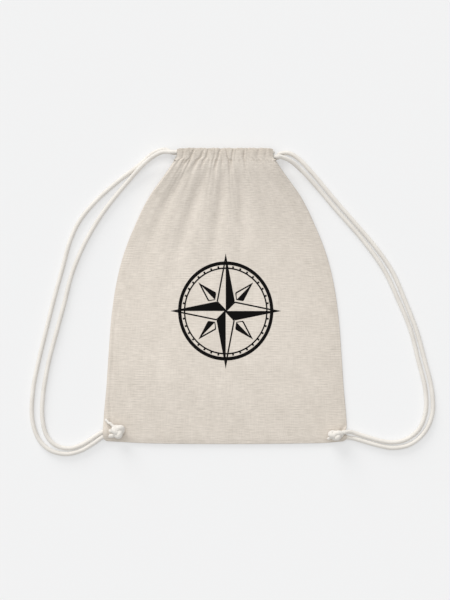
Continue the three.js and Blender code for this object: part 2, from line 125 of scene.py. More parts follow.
# Two soft cotton cords, each a single length of round braid. One runs through the upper lane of
# both casings and ends at the left corner, the other through the lower lane and at the right.
CORD = 7 * MM
LEFT_ROUTE = [
    (-0.1712, -0.2096, 0.0110), (-0.1752, -0.2098, 0.0076), (-0.1810, -0.2100, 0.0053),
    (-0.1885, -0.2108, 0.0050), (-0.2000, -0.2174, 0.0040), (-0.2210, -0.2305, 0.0036),
    (-0.2410, -0.2368, 0.0036), (-0.2620, -0.2325, 0.0036), (-0.2765, -0.2175, 0.0036),
    (-0.2835, -0.1900, 0.0036), (-0.2825, -0.1550, 0.0036), (-0.2740, -0.1040, 0.0036),
    (-0.2620, -0.0580, 0.0036), (-0.2495, -0.0120, 0.0036), (-0.2380, 0.0330, 0.0036),
    (-0.2175, 0.0820, 0.0036), (-0.1880, 0.1310, 0.0036), (-0.1500, 0.1780, 0.0055),
    (-0.1210, 0.2085, 0.0125), (-0.0980, 0.2220, 0.0200), (-0.0814, 0.2219, 0.0255),
    (-0.0740, 0.2219, 0.0255), (-0.0636, 0.2219, 0.0255), (0.0296, 0.2219, 0.0255),
    (0.0577, 0.2219, 0.0255), (0.0646, 0.2219, 0.0255), (0.0712, 0.2219, 0.0227),
    (0.0740, 0.2219, 0.0161), (0.0712, 0.2219, 0.0095), (0.0646, 0.2219, 0.0067),
    (0.0577, 0.2219, 0.0067), (0.0296, 0.2219, 0.0067), (-0.0636, 0.2219, 0.0067),
    (-0.0740, 0.2219, 0.0067), (-0.0814, 0.2219, 0.0067), (-0.0930, 0.2268, 0.0048),
    (-0.1100, 0.2220, 0.0036), (-0.1370, 0.1995, 0.0036), (-0.1650, 0.1785, 0.0036),
    (-0.1990, 0.1484, 0.0036), (-0.2250, 0.1174, 0.0036), (-0.2400, 0.0864, 0.0036),
    (-0.2530, 0.0400, 0.0036), (-0.2660, -0.0070, 0.0036), (-0.2775, -0.0530, 0.0036),
    (-0.2890, -0.1000, 0.0036), (-0.2980, -0.1460, 0.0036), (-0.2992, -0.1926, 0.0036),
    (-0.2885, -0.2236, 0.0036), (-0.2710, -0.2400, 0.0036), (-0.2470, -0.2456, 0.0036),
    (-0.2250, -0.2408, 0.0036), (-0.2050, -0.2296, 0.0040), (-0.1890, -0.2188, 0.0050),
    (-0.1810, -0.2176, 0.0053), (-0.1752, -0.2169, 0.0076), (-0.1712, -0.2163, 0.0110),
]
RIGHT_ROUTE = [
    (0.1800, -0.2124, 0.0134), (0.1850, -0.2117, 0.0120), (0.1910, -0.2112, 0.0089),
    (0.1985, -0.2122, 0.0052), (0.2095, -0.2158, 0.0036), (0.2250, -0.2205, 0.0036),
    (0.2420, -0.2253, 0.0036), (0.2605, -0.2275, 0.0036), (0.2800, -0.2236, 0.0036),
    (0.3005, -0.2080, 0.0036), (0.3115, -0.1800, 0.0036), (0.3110, -0.1460, 0.0036),
    (0.3000, -0.1000, 0.0036), (0.2880, -0.0530, 0.0036), (0.2690, -0.0065, 0.0036),
    (0.2470, 0.0400, 0.0036), (0.2140, 0.0864, 0.0036), (0.1735, 0.1325, 0.0036),
    (0.1390, 0.1730, 0.0048), (0.1195, 0.1935, 0.0095), (0.1010, 0.2088, 0.0165),
    (0.0870, 0.2144, 0.0220), (0.0814, 0.2145, 0.0255), (0.0740, 0.2145, 0.0255),
    (0.0636, 0.2145, 0.0255), (-0.0296, 0.2145, 0.0255), (-0.0577, 0.2145, 0.0255),
    (-0.0646, 0.2145, 0.0255), (-0.0712, 0.2145, 0.0227), (-0.0740, 0.2145, 0.0161),
    (-0.0712, 0.2145, 0.0095), (-0.0646, 0.2145, 0.0067), (-0.0577, 0.2145, 0.0067),
    (-0.0296, 0.2145, 0.0067), (0.0636, 0.2145, 0.0067), (0.0740, 0.2145, 0.0067),
    (0.0814, 0.2145, 0.0067), (0.0845, 0.2194, 0.0052), (0.0980, 0.2216, 0.0038),
    (0.1140, 0.2130, 0.0036), (0.1370, 0.1890, 0.0036), (0.1708, 0.1484, 0.0036),
    (0.2040, 0.1105, 0.0036), (0.2350, 0.0740, 0.0036), (0.2600, 0.0370, 0.0036),
    (0.2790, -0.0065, 0.0036), (0.2970, -0.0530, 0.0036), (0.3100, -0.1000, 0.0036),
    (0.3210, -0.1460, 0.0036), (0.3220, -0.1830, 0.0036), (0.3105, -0.2110, 0.0036),
    (0.2880, -0.2305, 0.0036), (0.2610, -0.2362, 0.0036), (0.2440, -0.2338, 0.0036),
    (0.2270, -0.2294, 0.0036), (0.2110, -0.2246, 0.0036), (0.1985, -0.2212, 0.0040),
    (0.1885, -0.2198, 0.0050), (0.1820, -0.2192, 0.0054), (0.1766, -0.2188, 0.0080),
    (0.1734, -0.2186, 0.0116),
]
CORD_SIDES = 24
CORD_STEP = 1.0 * MM
PLAITS_ROUND = 6
PLAIT_LENGTH = 5.2 * MM
PLAIT_RELIEF = 0.07
TIP_CLOSED = 0.97
CURVE_STEPS = 40


def shader_group(name, inputs, outputs):
    """An empty shader node group with the named sockets, and its two end nodes."""
    group = bpy.data.node_groups.new(name, "ShaderNodeTree")
    for socket, kind in inputs:
        group.interface.new_socket(socket, in_out="INPUT", socket_type=kind)
    for socket, kind in outputs:
        group.interface.new_socket(socket, in_out="OUTPUT", socket_type=kind)
    return group, group.nodes.new("NodeGroupInput"), group.nodes.new("NodeGroupOutput")


def feed(tree, source, socket):
    """Sets a socket to a value, or links another node's output to it."""
    if isinstance(source, bpy.types.NodeSocket):
        tree.links.new(source, socket)
    else:
        socket.default_value = source


def maths(tree, operation, *values):
    """The result of one math node."""
    node = tree.nodes.new("ShaderNodeMath")
    node.operation = operation
    for value, socket in zip(values, node.inputs):
        feed(tree, value, socket)
    return node.outputs[0]


def weighted(tree, *parts):
    """The sum of several values, each times its weight."""
    terms = [maths(tree, "MULTIPLY", value, weight) for value, weight in parts]
    total = terms[0]
    for term in terms[1:]:
        total = maths(tree, "ADD", total, term)
    return total


def noise(tree, vector, stretch, detail, roughness=0.5):
    """Noise with its own number of lumps to the metre along each axis."""
    scaled = tree.nodes.new("ShaderNodeVectorMath")
    scaled.operation = "MULTIPLY"
    feed(tree, vector, scaled.inputs[0])
    scaled.inputs[1].default_value = stretch
    node = tree.nodes.new("ShaderNodeTexNoise")
    feed(tree, scaled.outputs[0], node.inputs["Vector"])
    node.inputs["Scale"].default_value = 1
    node.inputs["Detail"].default_value = detail
    node.inputs["Roughness"].default_value = roughness
    return node.outputs["Fac"]


# Soft fibres of a loosely spun cotton yarn: Tone is where the yarn is cleaner, Height its fuzz
yarn_fuzz, yarn_in, yarn_out = shader_group(
    "yarn_fuzz",
    [("Thread", "NodeSocketVector"), ("Fibre", "NodeSocketFloat")],
    [("Tone", "NodeSocketFloat"), ("Height", "NodeSocketFloat")],
)
long_fibres = noise(yarn_fuzz, yarn_in.outputs["Thread"], (900, 252, 900), 3, 0.65)
soiling = noise(yarn_fuzz, yarn_in.outputs["Thread"], (42, 42, 42), 2)
feed(yarn_fuzz, weighted(yarn_fuzz, (long_fibres, 0.45), (soiling, 0.55)), yarn_out.inputs["Tone"])
feed(yarn_fuzz, maths(yarn_fuzz, "MULTIPLY", long_fibres, yarn_in.outputs["Fibre"]),
     yarn_out.inputs["Height"])


def cloth_finish(name, group, settings, dark, light, roughness, bump, depth, sheen):
    """A material of threads: a group's Tone mixes its two colours, and its Height is its relief."""
    material, shader = new_material(name, roughness, sheen)
    tree = material.node_tree
    place = tree.nodes.new("ShaderNodeAttribute")
    place.attribute_name = "thread"
    effect = tree.nodes.new("ShaderNodeGroup")
    effect.node_tree = group
    tree.links.new(place.outputs["Vector"], effect.inputs["Thread"])
    for socket, value in settings.items():
        effect.inputs[socket].default_value = value
    mix = tree.nodes.new("ShaderNodeMix")
    mix.data_type = "RGBA"
    tree.links.new(effect.outputs["Tone"], mix.inputs["Factor"])
    mix.inputs["A"].default_value = linear(*dark)
    mix.inputs["B"].default_value = linear(*light)
    tree.links.new(mix.outputs["Result"], shader.inputs["Base Color"])
    relief = tree.nodes.new("ShaderNodeBump")
    relief.inputs["Strength"].default_value = bump
    relief.inputs["Distance"].default_value = depth
    tree.links.new(effect.outputs["Height"], relief.inputs["Height"])
    tree.links.new(relief.outputs["Normal"], shader.inputs["Normal"])
    return material


cord_cotton = cloth_finish(
    "cotton_cord", yarn_fuzz, {"Fibre": 1.0}, dark=(205, 199, 191), light=(240, 236, 229),
    roughness=0.9, bump=0.4, depth=0.3 * MM, sheen=0.6)


def even_path(points, spacing):
    """A smooth path through the points, in even steps of about the spacing."""
    points = np.asarray(points, float)
    ends = np.vstack([2 * points[0] - points[1], points, 2 * points[-1] - points[-2]])
    share = (np.arange(CURVE_STEPS) / CURVE_STEPS)[:, None]
    parts = []
    for before, start, end, after in zip(ends[:-3], ends[1:-2], ends[2:-1], ends[3:]):
        gaps = [math.sqrt(np.linalg.norm(b - a))
                for a, b in ((before, start), (start, end), (end, after))]
        leave = (start - before) / gaps[0] - (end - before) / (gaps[0] + gaps[1])
        leave = (leave + (end - start) / gaps[1]) * gaps[1]
        arrive = (end - start) / gaps[1] - (after - start) / (gaps[1] + gaps[2])
        arrive = (arrive + (after - end) / gaps[2]) * gaps[1]
        parts.append(start + leave * share
                     + (3 * (end - start) - 2 * leave - arrive) * share ** 2
                     + (2 * (start - end) + leave + arrive) * share ** 3)
    fine = np.vstack([*parts, points[-1:]])
    lengths = np.concatenate([[0], np.cumsum(np.linalg.norm(np.diff(fine, axis=0), axis=1))])
    wanted = np.linspace(0, lengths[-1], max(4, round(lengths[-1] / spacing)))
    return np.stack([np.interp(wanted, lengths, fine[:, axis]) for axis in range(3)], axis=1)


def swept(path, radii, closed=False):
    """Rings of points round a path. radii holds a row for each ring, with a value for each side."""
    if closed:
        along = np.roll(path, -1, axis=0) - np.roll(path, 1, axis=0)
    else:
        along = np.gradient(path, axis=0)
    ahead = along / np.linalg.norm(along, axis=1)[:, None]
    side = np.cross(ahead[0], (0, 0, 1))
    sides = []
    for direction in ahead:
        side = side - direction * side.dot(direction)
        side = side / np.linalg.norm(side)
        sides.append(side)
    sides = np.array(sides)
    ups = np.cross(ahead, sides)
    angles = 2 * np.pi * np.arange(radii.shape[1]) / radii.shape[1]
    circles = (np.cos(angles)[None, :, None] * sides[:, None, :]
               + np.sin(angles)[None, :, None] * ups[:, None, :])
    return path[:, None, :] + radii[:, :, None] * circles


def tube_faces(rings, sides, closed=False):
    """Quads round a tube. One that isn't closed into a loop has open ends."""
    rows = np.arange(rings if closed else rings - 1)
    row, column = np.meshgrid(rows, np.arange(sides), indexing="ij")
    after = (row + 1) % rings
    beside = (column + 1) % sides
    quads = np.stack([row * sides + column, row * sides + beside,
                      after * sides + beside, after * sides + column], axis=-1)
    return quads.reshape(-1, 4).tolist()


def plaited(path, radius, closed=False, end_taper=0.0):
    """Points, thread places and faces of a round braid along an even path."""
    along = np.arange(len(path)) * np.linalg.norm(path[1] - path[0])
    angle = 2 * np.pi * np.arange(CORD_SIDES) / CORD_SIDES
    turns = angle[None, :] * PLAITS_ROUND
    steps = 2 * np.pi * along[:, None] / PLAIT_LENGTH
    lumps = np.maximum(np.maximum(0, np.cos(turns) * np.cos(steps)), np.sin(turns) * np.sin(steps))
    radii = radius * (1 - PLAIT_RELIEF * (1 - np.sqrt(lumps)))
    if end_taper:
        shrink = np.clip((along[-1] - along) / end_taper, 0, 1)
        radii = radii * np.sqrt(1 - (1 - shrink[:, None]) ** 2 * TIP_CLOSED)
    points = swept(path, radii, closed).reshape(-1, 3)
    thread = np.stack(np.broadcast_arrays(
        radius * np.cos(angle)[None, :], along[:, None], radius * np.sin(angle)[None, :]), axis=-1)
    return points, thread.reshape(-1, 3), tube_faces(len(path), CORD_SIDES, closed)


def with_ends(points, thread, faces):
    """Closes a tube with a fan of triangles round a point in the middle of each end."""
    first, last = slice(0, CORD_SIDES), slice(len(points) - CORD_SIDES, len(points))
    middles = [points[first].mean(axis=0), points[last].mean(axis=0)]
    threads = [thread[first].mean(axis=0), thread[last].mean(axis=0)]
    side = np.arange(CORD_SIDES)
    beside = (side + 1) % CORD_SIDES
    start = np.stack([beside, side, np.full(CORD_SIDES, len(points))], axis=1)
    end = np.stack([last.start + side, last.start + beside,
                    np.full(CORD_SIDES, len(points) + 1)], axis=1)
    return (np.vstack([points, *middles]), np.vstack([thread, *threads]),
            faces + start.tolist() + end.tolist())


def add_joined(name, parts, material):
    """Several closed parts as one piece of the bag."""
    faces, first = [], 0
    for points, _, part_faces in parts:
        faces += [[first + corner for corner in face] for face in part_faces]
        first += len(points)
    piece = add_mesh(name, np.vstack([points for points, _, _ in parts]), faces, material,
                     np.vstack([thread for _, thread, _ in parts]))
    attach(piece, "root")
    return piece


cord_paths = {}
for side, route in (("left", LEFT_ROUTE), ("right", RIGHT_ROUTE)):
    cord_paths[side] = even_path(route, CORD_STEP)
    braid = with_ends(*plaited(cord_paths[side], CORD / 2))
    add_joined(f"{side}_braided_cord", [braid], cord_cotton)
    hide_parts(f"{side}_cord")


# Overhand knots that stop the cords at the lower corners. Each is the cord itself drawn tight in
# a three-lobed turn, with a short cut end. They lie on the front, above the cords' way in.
KNOT_HEIGHT = 13 * MM
TAIL_THICK = 0.58 * CORD
TAIL_TAPER = 2 * MM
KNOT_STEPS = 160

# How wide and tall the three-lobed curve is before it is sized
TREFOIL_WIDE = 5.2
TREFOIL_TALL = 5.5

# Centre, size, cord's thickness in the knot, and tail of each knot in millimetres
KNOTS = {
    "left": {"centre": (-165.6, -209.5, 13.6), "wide": 21, "tall": 23, "cord": 10.2,
             "tail": [(-168, -205, 15), (-171.6, -202, 14.4), (-174.6, -200.9, 13.2),
                      (-177.4, -197.9, 12), (-180.6, -196.9, 10.8), (-183.2, -193.6, 9.4),
                      (-186.2, -191.6, 8.2)]},
    "right": {"centre": (171.5, -215.6, 15.6), "wide": 24, "tall": 17, "cord": 8.8,
              "tail": [(170, -218, 16), (163, -220, 14.5), (158.5, -222, 11.5)]},
}


def overhand(centre, wide, tall, cord):
    """The knot's closed three-lobed path, over and under itself. cord is how thick it is there."""
    angle = np.linspace(0, 2 * np.pi, KNOT_STEPS, endpoint=False)
    reach_x = (wide - cord) * MM / TREFOIL_WIDE
    reach_y = (tall - cord) * MM / TREFOIL_TALL
    sag = (KNOT_HEIGHT - cord * MM) / 2
    path = np.stack([
        reach_x * (np.sin(angle) + 2 * np.sin(2 * angle)),
        reach_y * (np.cos(angle) - 2 * np.cos(2 * angle)),
        -sag * np.sin(3 * angle),
    ], axis=1)
    return path + np.array(centre) * MM


for side, knot in KNOTS.items():
    loop_path = overhand(knot["centre"], knot["wide"], knot["tall"], knot["cord"])
    loop = plaited(loop_path, knot["cord"] * MM / 2, closed=True)
    tail_path = even_path(np.array(knot["tail"]) * MM, CORD_STEP)
    tail = with_ends(*plaited(tail_path, TAIL_THICK / 2, end_taper=TAIL_TAPER))
    add_joined(f"{side}_overhand_knot", [loop, tail], cord_cotton)
    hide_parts(f"{side}_knot")


# Front of the bag: one panel of unbleached cotton canvas. Its top is turned in and stitched down
# as a casing, which the cords gather into ruffles, and long soft folds fan out below it.
CLOTH = 1.3 * MM
BAG_WIDTH = 380 * MM
BAG_HEIGHT = 456 * MM
MOUTH_WIDTH = 148 * MM
SHOULDER = 5 * MM
EDGE_HEIGHT = 4.6 * MM
BODY_LOFT = 9.5 * MM
CROWN_POWER = 2.4
CORNER_RADIUS = 9 * MM
EDGE_TURN = 0.5 * MM
EDGE_SLOPE = 8 * MM
EDGE_DROP = 0.8 * MM
MOUTH_TURN = 5 * MM
OPEN_RIM_DROP = 0.1 * MM
FOLD_DEPTH = 5.6 * MM
CREASE_DEPTH = 2.6 * MM
FRONT_GATHER = 2.8 * MM
BACK_GATHER = 1.5 * MM
MOUTH_GATHER = 1.2 * MM
GATHER_FADE = 14
RUFFLE = 1.3 * MM
RUFFLE_FOOT = 0.1
CREPE = 0.3 * MM
CREPE_WAVES = 71
LANE_HALF = CORD / 2 + 0.4 * MM
BACK_LANE_Z = 6.7 * MM
FRONT_LANE_Z = 25.5 * MM
CASING_TOP_Y = 227.1 * MM
STITCH_Y = 209.3 * MM
PANEL_TOP_Y = 209.0 * MM
BOTTOM_Y = -BAG_HEIGHT / 2
BODY_HEIGHT = PANEL_TOP_Y - BOTTOM_Y
MOUTH_RIM_Z = (FRONT_LANE_Z + CLOTH) / 2
CORD_INSIDE_Z = CLOTH + LANE_HALF
STITCH_LIFT = 5.6 * MM
SQUARE_TOP = 0.72
SQUARE_FOOT = 0.55
FOOT_RISE = 1.3
HEM_ROUND = 48 * MM

# The body's cross-sections from the bottom edge up, all in shares: the height, how far the sides
# have drawn in, how full the bag is, how far its face and its rim have risen to the mouth's own
# level, and how far the cloth is gathered
SECTIONS = np.array([
    (0.000, 0.000, 0.00, 0.00, 0.00, 0.00),
    (0.037, 0.004, 0.10, 0.00, 0.00, 0.00),
    (0.100, 0.018, 0.32, 0.00, 0.00, 0.00),
    (0.190, 0.050, 0.62, 0.00, 0.00, 0.00),
    (0.315, 0.083, 0.90, 0.00, 0.00, 0.00),
    (0.453, 0.126, 1.00, 0.00, 0.00, 0.00),
    (0.544, 0.176, 0.98, 0.02, 0.00, 0.00),
    (0.624, 0.243, 0.92, 0.07, 0.02, 0.00),
    (0.704, 0.342, 0.80, 0.16, 0.06, 0.00),
    (0.773, 0.455, 0.64, 0.28, 0.14, 0.04),
    (0.837, 0.572, 0.46, 0.43, 0.28, 0.10),
    (0.887, 0.685, 0.30, 0.58, 0.44, 0.20),
    (0.928, 0.802, 0.17, 0.73, 0.62, 0.36),
    (0.960, 0.893, 0.08, 0.86, 0.79, 0.58),
    (1.000, 1.000, 0.00, 1.00, 1.00, 1.00),
])
UP, TAPER, PUFF, MOUTH, RIM, GATHER = range(6)

# Long folds: where they leave the mouth across the half width, their half width, depth, reach
# down and lean
FOLDS = [
    (-0.68, 0.075, 0.90, 0.52, -0.34),
    (-0.32, 0.075, 1.00, 0.56, -0.46),
    (-0.01, 0.065, 0.90, 0.54, -0.34),
    (0.26, 0.070, 0.80, 0.48, -0.30),
    (0.50, 0.060, 0.55, 0.36, -0.10),
    (0.72, 0.060, 0.40, 0.30, 0.10),
]

# Creases of the gathers: where they cross the stitch line, their depth, half width, reach below
# it in millimetres, and lean
CREASES = [
    (-0.90, 0.40, 0.022, 12, 0.03), (-0.804, 0.65, 0.016, 14, -0.04),
    (-0.746, 0.80, 0.020, 24, 0.06), (-0.687, 0.65, 0.015, 12, -0.03),
    (-0.549, 0.75, 0.030, 34, 0.07), (-0.412, 0.50, 0.024, 20, 0.04),
    (-0.300, 0.30, 0.018, 9, -0.03), (-0.235, 0.50, 0.016, 12, 0.02),
    (-0.165, 1.00, 0.020, 32, 0.04), (-0.059, 0.45, 0.024, 16, -0.02),
    (0.078, 0.85, 0.015, 34, -0.03), (0.125, 0.90, 0.014, 24, 0.03),
    (0.200, 0.20, 0.022, 9, 0.02), (0.290, 0.30, 0.026, 16, -0.03),
    (0.378, 0.62, 0.016, 24, 0.02), (0.430, 0.30, 0.018, 12, 0.03),
    (0.545, 0.26, 0.030, 14, -0.03), (0.655, 0.40, 0.034, 20, 0.03),
    (0.748, 0.24, 0.022, 12, -0.02), (0.822, 0.30, 0.028, 18, 0.03),
    (0.915, 0.26, 0.026, 10, -0.02),
]

# How many millimetres below the stitch line a crease is twice as wide, and has leant by its lean
CREASE_WIDENS = 26
CREASE_LEANS = 30

# Soft waves between the creases: height, waves, start, and how far they lean over the casing.
# Each crease grows and fades in its own way as it climbs the casing.
CREST_LEVEL = 0.84
CREST_WAVES = [(0.07, 23, 0.6, 0), (0.05, 57, 0.0, 2)]
CREASE_STRENGTH = 0.95
CREASE_FADE = 0.3
DEEPEST_CREASE = -0.15

# Low waves of the whole panel: height in millimetres, lengths in metres along x and y, and start
SLACK_WAVES = [
    (0.34, 0.23, 0.41, 0.4),
    (0.22, 0.11, -0.19, 2.1),
    (0.20, 0.31, 0.083, 1.2),
    (0.14, 0.047, 0.12, 5.0),
]

# Lower corners in millimetres: where a cord swells the cloth and how far that reaches, and where
# it passes the side seam and how far the seam is open
CORNER_SWELLS = [(-187, -214, 13, 13), (186, -220, 12, 8)]
CORD_WAYS = [(-214.6, 8.8), (-219.9, 4.9)]

# Outline of the lower edges: a dent in the right side above its cord, a bottom edge that sags,
# and corners that ride up, with the side, height and reach of each
SIDE_DENT = 4 * MM
DENT_ABOVE = 16 * MM
DENT_HALF = 4.5 * MM
BOTTOM_SAG = 2.2 * MM
BOTTOM_BOW_REACH = 40 * MM
CORNER_LIFTS = [(-1, 2.4 * MM, 46 * MM), (1, 2.2 * MM, 24 * MM)]

# Left edge in millimetres: how wide a strip the side seam has rolled onto the front, how much
# wider it is at the bottom, how far up it shows, and the groove beside it
ROLLED_STRIP = 7
ROLLED_WIDER = 4.6
WIDER_BELOW_Y = -150
WIDER_OVER = 58
ROLLED_TOP_Y = 30
ROLLED_FADE = 90
ROLLED_BULGE = 0.5
GROOVE_DEPTH = 1.5
GROOVE_HALF = 1.4

# Crease beside the right knot in millimetres
PINCH_START = (187.5, -200.5)
PINCH_END = (177.5, -213.5)
PINCH_DEPTH = 2.4
PINCH_HALF = 2.3
PINCH_AT_START = 0.45


def bell(distance, half):
    """1 in the middle, falling away softly to both sides."""
    return np.exp(-((distance / half) ** 2))


def eased(value):
    """A value held between 0 and 1 that leaves and arrives softly."""
    share = np.clip(value, 0, 1)
    return share * share * (3 - 2 * share)


def section(up, column):
    """A column of the section table at any height, on a smooth line through its rows."""
    heights, values = SECTIONS[:, UP], SECTIONS[:, column]
    slopes = np.gradient(values, heights)
    up = np.clip(up, 0, 1)
    row = np.clip(np.searchsorted(heights, up) - 1, 0, len(heights) - 2)
    gap = heights[row + 1] - heights[row]
    share = (up - heights[row]) / gap
    rise = values[row + 1] - values[row]
    leave, arrive = slopes[row] * gap, slopes[row + 1] * gap
    return (values[row] + leave * share + (3 * rise - 2 * leave - arrive) * share ** 2
            + (leave + arrive - 2 * rise) * share ** 3)


def half_width(y, across, inset=0.0):
    """Half of the bag's width at a height, up to its rounded lower corners."""
    taper = section((y - BOTTOM_Y) / BODY_HEIGHT, TAPER)
    straight = BAG_WIDTH / 2 + (MOUTH_WIDTH / 2 + SHOULDER - BAG_WIDTH / 2) * taper
    below = np.clip(CORNER_RADIUS - (y - BOTTOM_Y), 0, CORNER_RADIUS)
    rounding = CORNER_RADIUS - np.sqrt(CORNER_RADIUS ** 2 - below ** 2)
    dent = np.where(across > 0, SIDE_DENT, 0) * bell(y - BOTTOM_Y - DENT_ABOVE, DENT_HALF)
    return straight - rounding - inset - dent


def swelling(x, y):
    """Where the cords lie between the panels at the lower corners."""
    left, right = (bell(x - at_x * MM, wide * MM) * bell(y - at_y * MM, tall * MM)
                   for at_x, at_y, wide, tall in CORNER_SWELLS)
    return np.maximum(left, right)


def crest(across, rise=-1.0):
    """The gathers' outline along the mouth, from about 0 in a crease to 1 on a ruffle."""
    outline = CREST_LEVEL
    for height, waves, start, lean in CREST_WAVES:
        outline = outline + height * np.sin(waves * across + start + lean * rise)
    for at, depth, half, _, lean in CREASES:
        place = at + lean * (rise + 1)
        strength = CREASE_STRENGTH + CREASE_FADE * np.sin(40 * at + 2.2 * rise)
        outline = outline - depth * strength * bell(across - place, half)
    return np.clip(outline, DEEPEST_CREASE, 1)


def folds(across, y):
    """Depth of the long folds, which fan out from the mouth and fade down the bag."""
    down = (PANEL_TOP_Y - y) / BODY_HEIGHT
    depth = 0.0
    for at, half, deep, reach, lean in FOLDS:
        depth = depth + deep * bell(across - at - lean * down, half) * eased(1 - down / reach)
    return depth * FOLD_DEPTH


def creases(across, y):
    """Short creases that the gathers leave in the panel, wider and shallower further down."""
    down = (PANEL_TOP_Y - y) / MM
    depth = 0.0
    for at, deep, half, reach, lean in CREASES:
        wider = half * (1 + down / CREASE_WIDENS)
        spread = bell(across - at + lean * down / CREASE_LEANS, wider)
        depth = depth + deep * spread * eased(1 - down / reach)
    return depth * CREASE_DEPTH


def slack(x, y):
    """Low, broad waves of cloth that has been folded and smoothed out again."""
    return sum(height * np.sin(2 * np.pi * (x / long_x + y / long_y) + start)
               for height, long_x, long_y, start in SLACK_WAVES) * MM


def side_seam(x, y, half):
    """A groove beside the left edge, where the side seam has rolled onto the front."""
    from_edge, y = (x + half) / MM, y / MM
    strip = ROLLED_STRIP + ROLLED_WIDER * eased((WIDER_BELOW_Y - y) / WIDER_OVER)
    shown = eased((ROLLED_TOP_Y - y) / ROLLED_FADE)
    groove = GROOVE_DEPTH * bell(from_edge - strip, GROOVE_HALF)
    groove = groove - ROLLED_BULGE * bell(from_edge - 0.5 * strip, 0.3 * strip)
    return groove * shown * MM


def pinch(x, y):
    """A crease that runs from the right edge to the knot, where a strand pulls on the cloth."""
    start, end = np.array(PINCH_START) * MM, np.array(PINCH_END) * MM
    run = end - start
    share = np.clip(((x - start[0]) * run[0] + (y - start[1]) * run[1]) / run.dot(run), 0, 1)
    away = np.hypot(x - start[0] - share * run[0], y - start[1] - share * run[1])
    deeper = PINCH_AT_START + (1 - PINCH_AT_START) * share
    return PINCH_DEPTH * MM * bell(away, PINCH_HALF * MM) * deeper


def front_level(across, x, y, half):
    """Height of the front's outer face, away from its rounded edges."""
    up = (y - BOTTOM_Y) / BODY_HEIGHT
    puff, mouth, gather = section(up, PUFF), section(up, MOUTH), section(up, GATHER)
    # Cloth under tension climbs to the mouth early and levels off there
    mouth, gather = mouth * (1.5 - 0.5 * mouth), gather * (2 - gather)
    crown = 1 - (1 - mouth) * np.abs(across) ** CROWN_POWER
    level = EDGE_HEIGHT + BODY_LOFT * puff * crown
    level = level + (2 * CORD_INSIDE_Z - EDGE_HEIGHT) * swelling(x, y)
    level = level + (FRONT_LANE_Z + CLOTH / 2 - EDGE_HEIGHT) * mouth * crown
    level = level + gather * (crest(across) * MOUTH_GATHER + STITCH_LIFT)
    level = level - folds(across, y) * crown * (1 - gather) - creases(across, y)
    near = np.minimum(half - np.abs(x), y - BOTTOM_Y)
    level = level - EDGE_DROP * (1 - eased(near / EDGE_SLOPE)) * (1 - mouth)
    # The low waves die out towards all edges
    loose = np.clip(puff * 1.4, 0, 1) * (1 - np.abs(across) ** 6)
    return level + slack(x, y) * loose - side_seam(x, y, half) - pinch(x, y)


def over_edge(distance, radius):
    """How far a round edge has risen at a distance from its rim, from 0 to 1."""
    share = np.clip(distance / radius, 0, 1)
    return np.sqrt(1 - (1 - share) ** 2)


def bottom_bow(x, above):
    """How far the bottom edge lies off a straight line: it sags, and its corners ride up."""
    bow = -BOTTOM_SAG * (1 - (x / (BAG_WIDTH / 2)) ** 2)
    for side, lift, reach in CORNER_LIFTS:
        bow = bow + lift * bell(x - side * BAG_WIDTH / 2, reach)
    return bow * np.clip(1 - above / BOTTOM_BOW_REACH, 0, 1) ** 2


def cord_way(across, y):
    """1 along the parts of the side seams that stay open for the cords, 0 elsewhere."""
    left, right = (1 / (1 + ((y - at * MM) / (half * MM)) ** 8) for at, half in CORD_WAYS)
    return np.where(across < 0, left, right)


def panel_skin(face, inset, across, rows):
    """One skin of a panel. face is 1 for the front and -1 for the back."""
    above = rows - BOTTOM_Y
    up = above / BODY_HEIGHT
    y = rows + inset * np.clip(1 - above / CORNER_RADIUS, 0, None)
    half = half_width(rows, across, inset)
    x = across * half
    flat_rim = EDGE_HEIGHT / 2 + (CORD_INSIDE_Z - EDGE_HEIGHT / 2) * swelling(x, rows)
    seam = flat_rim + (MOUTH_RIM_Z - flat_rim) * section(up, RIM)
    if face > 0:
        level = front_level(across, x, rows, half) - inset
        open_rim = level - OPEN_RIM_DROP
    else:
        level = BACK_GATHER * section(up, GATHER) * (1 - crest(-across)) + inset
        open_rim = level
    rim = seam + (open_rim - seam) * cord_way(across, rows)
    turn = EDGE_TURN + (MOUTH_TURN - EDGE_TURN) * section(up, RIM)
    over = over_edge(half - np.abs(x), turn) * over_edge(y - BOTTOM_Y - inset, turn)
    y = y + bottom_bow(x, above)
    return np.stack(np.broadcast_arrays(x, y, rim + (level - rim) * over), axis=-1)


